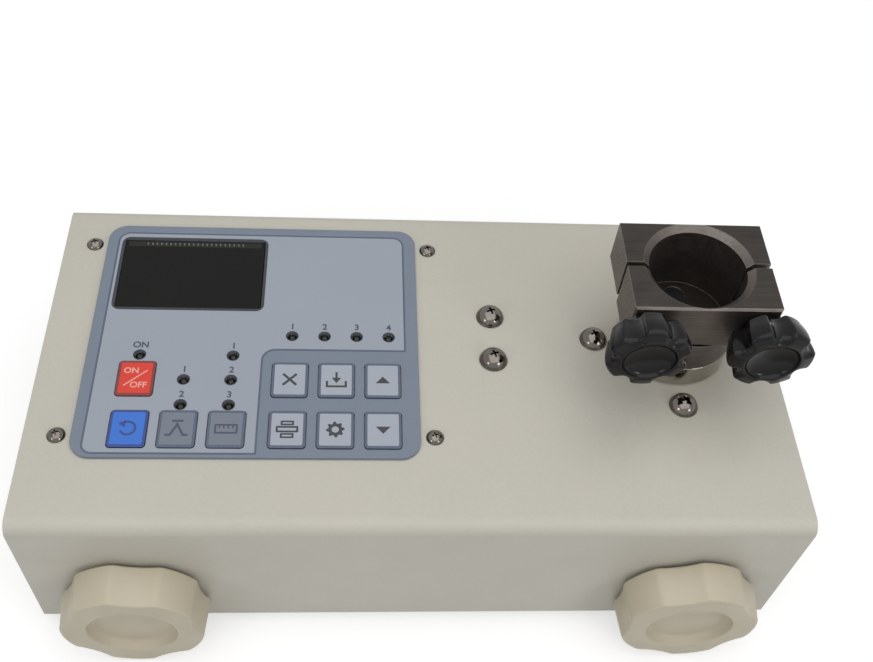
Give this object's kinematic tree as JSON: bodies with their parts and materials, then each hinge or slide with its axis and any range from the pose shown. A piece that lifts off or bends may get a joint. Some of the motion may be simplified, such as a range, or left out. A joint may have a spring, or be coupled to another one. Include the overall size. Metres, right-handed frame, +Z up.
{
  "type": "torque tester",
  "caption": "Bench torque tester with a split clamp chuck for round caps, a membrane key panel with a display, and knob feet on a bent sheet housing.",
  "frame": {"origin": "on the ground, under the middle of the housing", "axes": "+X to the right along the long side, +Y to the rear, +Z up"},
  "size_m": [0.21, 0.1348, 0.0946],
  "materials": {
    "cream_paint": "fine satin powder coat in warm light grey",
    "cream_plastic": "moulded cream plastic, softly satin",
    "zinc_sheet": "zinc plated steel",
    "blue_grey_film": "printed matt polyester film",
    "dark_window": "clear window over a dark display",
    "black_plastic": "black plastic with a soft gloss",
    "red_key": "printed matt film key",
    "blue_key": "printed matt film key",
    "grey_key": "printed matt film key",
    "pale_key": "printed matt film key",
    "board_green": "green circuit board",
    "polished_steel": "mirror polished steel",
    "ground_steel": "ground steel",
    "black_oxide": "black oxide steel",
    "aluminium_plain": "plain milled aluminium",
    "gauge_foil": "amber film with foil",
    "gunmetal": "dark ground steel with a dull sheen",
    "cell_wrap": "shrink wrapped cells",
    "grey_lead": "grey lead insulation",
    "red_lead": "red lead insulation"
  },
  "bodies": {
    "housing": {"top_cover": "cream_paint", "side_plate_left": "cream_paint", "side_plate_right": "cream_paint", "base_plate": "zinc_sheet", "case_screws": "zinc_sheet", "foot_studs": "zinc_sheet", "foot_nuts": "zinc_sheet", "keypad_overlay": "blue_grey_film", "display_lens": "dark_window", "display_module": "black_plastic", "key_switches": "black_plastic", "indicator_lamps": "black_plastic", "display_board": "board_green", "display_board_parts": "black_plastic", "board_sleeves": "zinc_sheet", "panel_screws": "polished_steel", "panel_nuts": "zinc_sheet", "dome_screws": "polished_steel", "head_plate": "aluminium_plain", "bearing_outer_race": "ground_steel", "bearing_balls": "ground_steel", "bearing_clip": "black_oxide", "torsion_bar": "ground_steel", "strain_gauges": "gauge_foil", "reaction_plate": "aluminium_plain", "plate_pillars": "aluminium_plain", "reaction_screws": "polished_steel", "amplifier_box": "aluminium_plain", "battery_cells": "cell_wrap", "battery_strap": "zinc_sheet", "main_board": "board_green", "main_board_parts": "black_plastic", "charging_socket": "black_plastic", "serial_socket": "zinc_sheet", "signal_leads": "grey_lead", "power_leads": "red_lead"},
    "spindle": {"bearing_inner_race": "ground_steel", "torque_shaft": "polished_steel", "shaft_bolts": "black_oxide", "chuck_body": "gunmetal", "chuck_screws": "black_oxide"},
    "jaw": {"front_jaw": "gunmetal"},
    "clamp_left": {"clamp_knob_left": "black_plastic", "clamp_screw_left": "ground_steel"},
    "clamp_right": {"clamp_knob_right": "black_plastic", "clamp_screw_right": "ground_steel"},
    "foot_front_left_knob": {"foot_front_left": "cream_plastic"},
    "foot_front_right_knob": {"foot_front_right": "cream_plastic"},
    "foot_rear_left_knob": {"foot_rear_left": "cream_plastic"},
    "foot_rear_right_knob": {"foot_rear_right": "cream_plastic"},
    "power_key": {"key_power": "red_key"},
    "reset_key": {"key_reset": "blue_key"},
    "mode_key": {"key_mode": "grey_key"},
    "unit_key": {"key_unit": "grey_key"},
    "clear_key": {"key_clear": "pale_key"},
    "save_key": {"key_save": "pale_key"},
    "up_key": {"key_up": "pale_key"},
    "print_key": {"key_print": "pale_key"},
    "set_key": {"key_set": "pale_key"},
    "down_key": {"key_down": "pale_key"}
  },
  "joints": [
    {"name": "spindle_twist", "type": "hinge", "parent": "housing", "child": "spindle", "pos_m": [0.075, 0.0065, 0.0498], "axis": [0, 0, 1], "range_deg": [-1, 1], "stiffness_Nm_per_rad": 300},
    {"name": "jaw_slide", "type": "slide", "parent": "spindle", "child": "jaw", "axis": [0, -1, 0], "range_m": [-0.0012, 0.0042]},
    {"name": "clamp_left_turn", "type": "hinge", "parent": "jaw", "child": "clamp_left", "pos_m": [0.0586, -0.0154, 0.0828], "axis": [0, -1, 0], "range_deg": [-600, 2160]},
    {"name": "clamp_right_turn", "type": "hinge", "parent": "jaw", "child": "clamp_right", "pos_m": [0.0914, -0.0154, 0.0828], "axis": [0, -1, 0], "range_deg": [-600, 2160]},
    {"name": "foot_front_left_turn", "type": "hinge", "parent": "housing", "child": "foot_front_left_knob", "pos_m": [-0.0765, -0.0619, 0.02], "axis": [0, -1, 0], "continuous": true},
    {"name": "foot_front_right_turn", "type": "hinge", "parent": "housing", "child": "foot_front_right_knob", "pos_m": [0.0765, -0.0619, 0.02], "axis": [0, -1, 0], "continuous": true},
    {"name": "foot_rear_left_turn", "type": "hinge", "parent": "housing", "child": "foot_rear_left_knob", "pos_m": [-0.0765, 0.0619, 0.02], "axis": [0, 1, 0], "continuous": true},
    {"name": "foot_rear_right_turn", "type": "hinge", "parent": "housing", "child": "foot_rear_right_knob", "pos_m": [0.0765, 0.0619, 0.02], "axis": [0, 1, 0], "continuous": true},
    {"name": "power_press", "type": "slide", "parent": "housing", "child": "power_key", "axis": [0, 0, -1], "range_m": [0, 0.0004], "stiffness_N_per_m": 2500},
    {"name": "reset_press", "type": "slide", "parent": "housing", "child": "reset_key", "axis": [0, 0, -1], "range_m": [0, 0.0004], "stiffness_N_per_m": 2500},
    {"name": "mode_press", "type": "slide", "parent": "housing", "child": "mode_key", "axis": [0, 0, -1], "range_m": [0, 0.0004], "stiffness_N_per_m": 2500},
    {"name": "unit_press", "type": "slide", "parent": "housing", "child": "unit_key", "axis": [0, 0, -1], "range_m": [0, 0.0004], "stiffness_N_per_m": 2500},
    {"name": "clear_press", "type": "slide", "parent": "housing", "child": "clear_key", "axis": [0, 0, -1], "range_m": [0, 0.0004], "stiffness_N_per_m": 2500},
    {"name": "save_press", "type": "slide", "parent": "housing", "child": "save_key", "axis": [0, 0, -1], "range_m": [0, 0.0004], "stiffness_N_per_m": 2500},
    {"name": "up_press", "type": "slide", "parent": "housing", "child": "up_key", "axis": [0, 0, -1], "range_m": [0, 0.0004], "stiffness_N_per_m": 2500},
    {"name": "print_press", "type": "slide", "parent": "housing", "child": "print_key", "axis": [0, 0, -1], "range_m": [0, 0.0004], "stiffness_N_per_m": 2500},
    {"name": "set_press", "type": "slide", "parent": "housing", "child": "set_key", "axis": [0, 0, -1], "range_m": [0, 0.0004], "stiffness_N_per_m": 2500},
    {"name": "down_press", "type": "slide", "parent": "housing", "child": "down_key", "axis": [0, 0, -1], "range_m": [0, 0.0004], "stiffness_N_per_m": 2500}
  ],
  "couplings": [
    {"joint": "jaw_slide", "follows": "clamp_left_turn", "m_per_rad": 0.00011141},
    {"joint": "clamp_right_turn", "follows": "clamp_left_turn", "ratio": 1}
  ]
}
